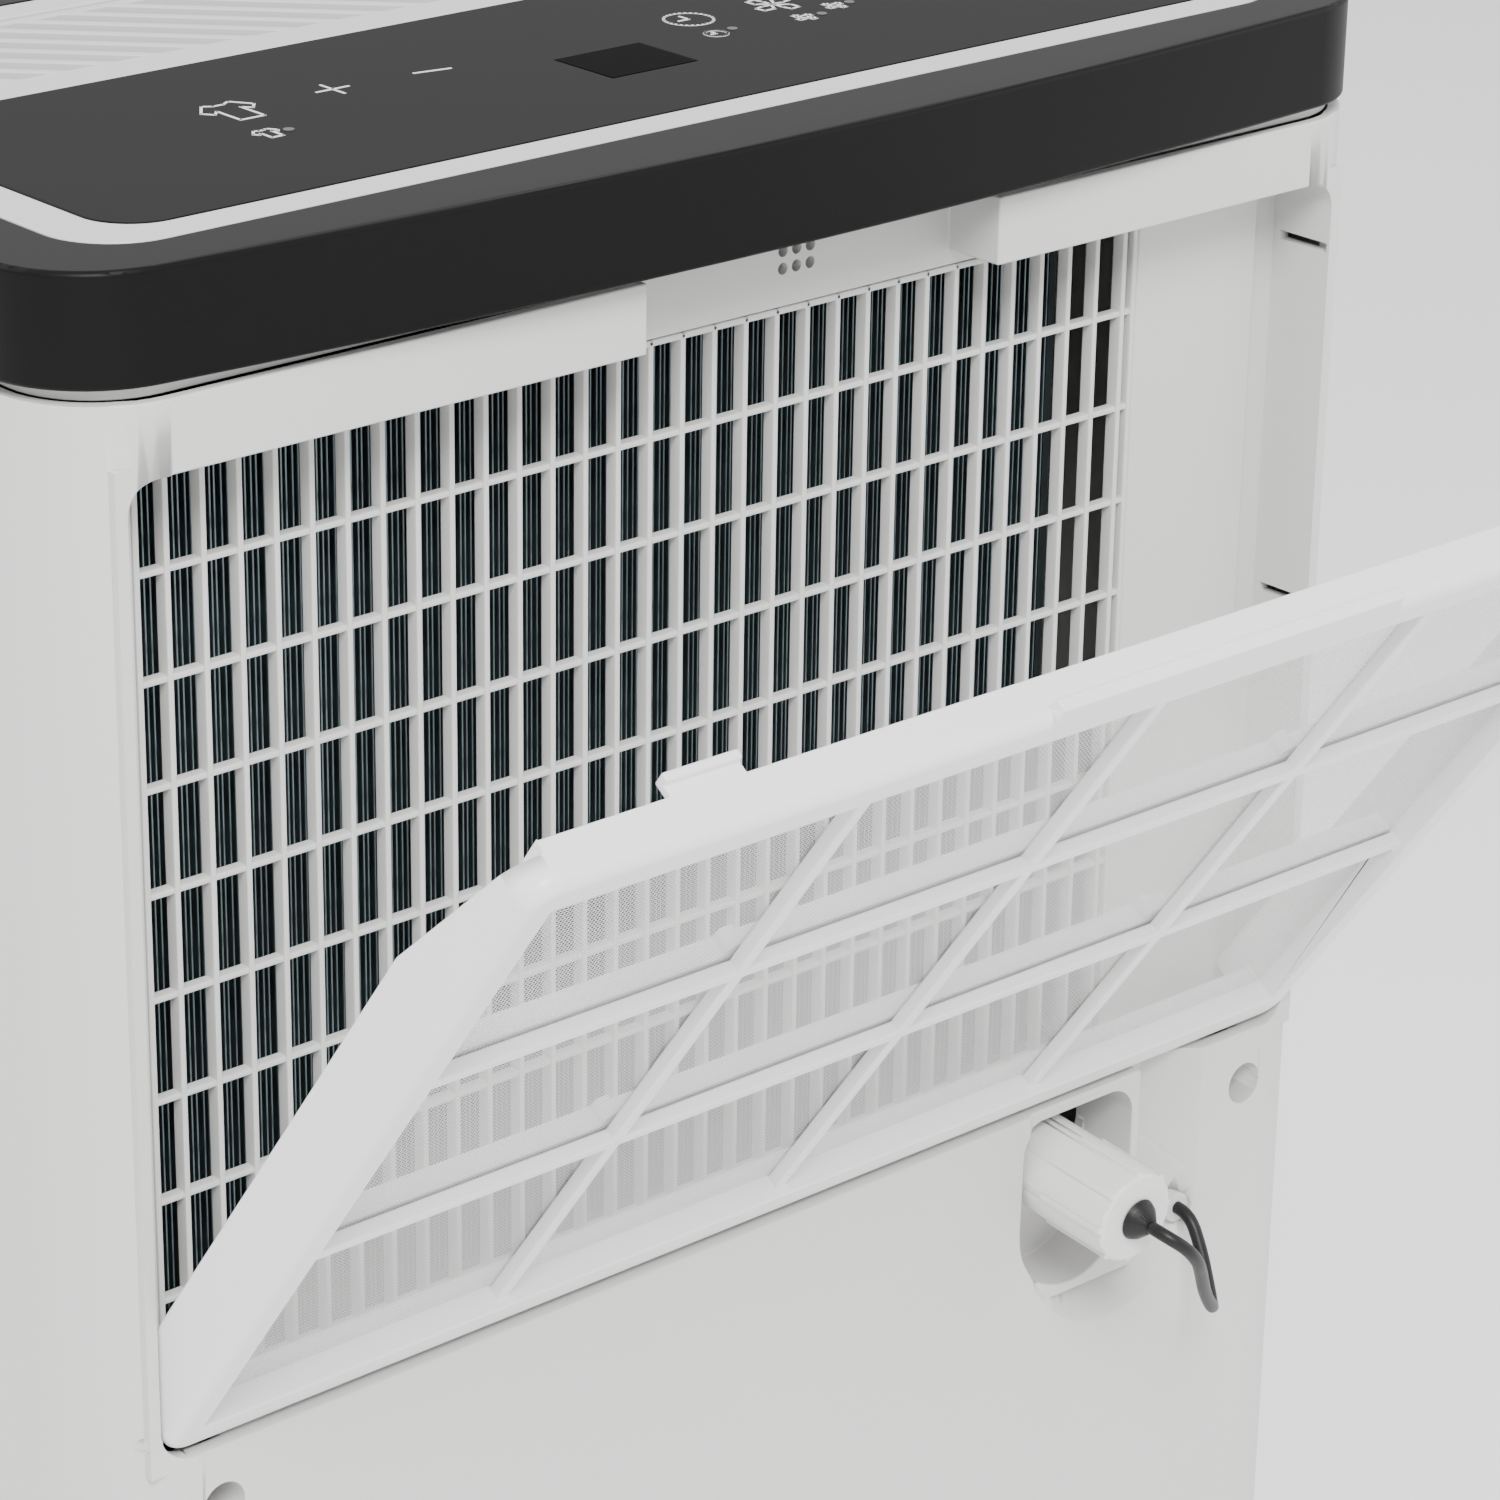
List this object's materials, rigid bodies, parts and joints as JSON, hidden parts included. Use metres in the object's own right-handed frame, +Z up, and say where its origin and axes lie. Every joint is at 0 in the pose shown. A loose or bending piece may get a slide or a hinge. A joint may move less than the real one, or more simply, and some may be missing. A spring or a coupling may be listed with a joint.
{
  "type": "dehumidifier",
  "caption": "Upright room dehumidifier on castors with a dark top cover, touch panel, slanted air outlet, open tilting rear filter, capped drain port and slide-out water tank.",
  "frame": {"origin": "on the floor, under the middle of the body's plan, midway between the castors; the open filter and the drain cap aren't counted", "axes": "+Z up, +Y out of the rear face that holds the filter and the drain port, +X towards the machine's left side as seen from its front"},
  "size_m": [0.339, 0.3741, 0.515],
  "materials": {
    "housing_plastic": "satin moulded, warm off-white",
    "base_plastic": "satin moulded",
    "cover_plastic": "satin charcoal",
    "trim_plastic": "satin light grey",
    "panel_plastic": "dark, half gloss",
    "display_glass": "dark, glossy",
    "filter_plastic": "white, satin",
    "filter_net": "fine woven nylon",
    "rubber_black": "matt",
    "coil_fins": "thin bright fins",
    "copper": "drawn tube",
    "compressor_steel": "black, satin",
    "chassis_plastic": "moulded grey",
    "fan_plastic": "moulded black",
    "motor_steel": "pressed",
    "board_green": "laminate with parts",
    "steel": "zinc plated",
    "tank_plastic": "translucent, satin",
    "window_clear": "clear",
    "float_foam": "foam",
    "wheel_nylon": "satin black"
  },
  "bodies": {
    "housing": {"base_tray": "base_plastic", "bay_wall": "chassis_plastic", "chassis_plate": "chassis_plastic", "compressor": "compressor_steel", "compressor_feet": "rubber_black", "condensate_tray": "chassis_plastic", "condenser": "coil_fins", "condenser_bends": "copper", "control_board": "board_green", "control_panel": "panel_plastic", "cord_gland": "rubber_black", "display_window": "display_glass", "drip_chute": "chassis_plastic", "evaporator": "coil_fins", "evaporator_bends": "copper", "fan_motor": "motor_steel", "fan_scroll": "chassis_plastic", "front_housing": "housing_plastic", "humidity_sensor": "fan_plastic", "intake_grille": "housing_plastic", "outlet_frame": "trim_plastic", "outlet_slats": "trim_plastic", "power_board": "board_green", "rear_housing": "housing_plastic", "rear_screws": "steel", "refrigerant_pipes": "copper", "run_capacitor": "motor_steel", "side_grip_left": "housing_plastic", "side_grip_right": "housing_plastic", "tank_switch": "fan_plastic", "tether_anchor": "filter_plastic", "top_cover": "cover_plastic", "top_frame": "housing_plastic"},
    "filter": {"filter_frame": "filter_plastic", "filter_mesh": "filter_net"},
    "drain_cap": {"drain_cap": "filter_plastic"},
    "drain_plug": {"drain_plug": "rubber_black", "drain_tether": "rubber_black"},
    "fan_wheel": {"fan_impeller": "fan_plastic"},
    "tank": {"water_tank": "tank_plastic", "tank_front": "housing_plastic", "level_window": "window_clear", "tank_lid": "tank_plastic"},
    "float": {"tank_float": "float_foam"},
    "fork_front_left": {"castor_fork_front_left": "steel"},
    "wheel_front_left": {"castor_wheel_front_left": "wheel_nylon"},
    "fork_front_right": {"castor_fork_front_right": "steel"},
    "wheel_front_right": {"castor_wheel_front_right": "wheel_nylon"},
    "fork_rear_left": {"castor_fork_rear_left": "steel"},
    "wheel_rear_left": {"castor_wheel_rear_left": "wheel_nylon"},
    "fork_rear_right": {"castor_fork_rear_right": "steel"},
    "wheel_rear_right": {"castor_wheel_rear_right": "wheel_nylon"}
  },
  "joints": [
    {"name": "filter_tilt", "type": "hinge", "parent": "housing", "child": "filter", "pos_m": [0, 0.1245, 0.2845], "axis": [1, 0, 0], "range_deg": [0, 36]},
    {"name": "drain_cap_turn", "type": "hinge", "parent": "housing", "child": "drain_cap", "pos_m": [-0.084, 0.1275, 0.2635], "axis": [0, 0.9962, -0.0872], "range_deg": [0, 90]},
    {"name": "drain_plug_pull", "type": "slide", "parent": "housing", "child": "drain_plug", "axis": [0, 0.9962, -0.0872], "range_m": [0, 0.012], "deforming": ["drain_tether"]},
    {"name": "fan_spin", "type": "hinge", "parent": "housing", "child": "fan_wheel", "pos_m": [0, -0.033, 0.372], "axis": [0, 1, 0], "continuous": true},
    {"name": "tank_slide", "type": "slide", "parent": "housing", "child": "tank", "axis": [0, -1, 0], "range_m": [0, 0.16]},
    {"name": "float_swing", "type": "hinge", "parent": "tank", "child": "float", "pos_m": [0.09, -0.0285, 0.2244], "axis": [-1, 0, 0], "range_deg": [0, 22]},
    {"name": "swivel_front_left", "type": "hinge", "parent": "housing", "child": "fork_front_left", "pos_m": [-0.125, -0.086, 0.05], "axis": [0, 0, 1], "continuous": true},
    {"name": "roll_front_left", "type": "hinge", "parent": "fork_front_left", "child": "wheel_front_left", "pos_m": [-0.125, -0.076, 0.018], "axis": [1, 0, 0], "continuous": true},
    {"name": "swivel_front_right", "type": "hinge", "parent": "housing", "child": "fork_front_right", "pos_m": [0.125, -0.086, 0.05], "axis": [0, 0, 1], "continuous": true},
    {"name": "roll_front_right", "type": "hinge", "parent": "fork_front_right", "child": "wheel_front_right", "pos_m": [0.125, -0.076, 0.018], "axis": [1, 0, 0], "continuous": true},
    {"name": "swivel_rear_left", "type": "hinge", "parent": "housing", "child": "fork_rear_left", "pos_m": [-0.125, 0.086, 0.05], "axis": [0, 0, 1], "continuous": true},
    {"name": "roll_rear_left", "type": "hinge", "parent": "fork_rear_left", "child": "wheel_rear_left", "pos_m": [-0.125, 0.096, 0.018], "axis": [1, 0, 0], "continuous": true},
    {"name": "swivel_rear_right", "type": "hinge", "parent": "housing", "child": "fork_rear_right", "pos_m": [0.125, 0.086, 0.05], "axis": [0, 0, 1], "continuous": true},
    {"name": "roll_rear_right", "type": "hinge", "parent": "fork_rear_right", "child": "wheel_rear_right", "pos_m": [0.125, 0.096, 0.018], "axis": [1, 0, 0], "continuous": true}
  ]
}
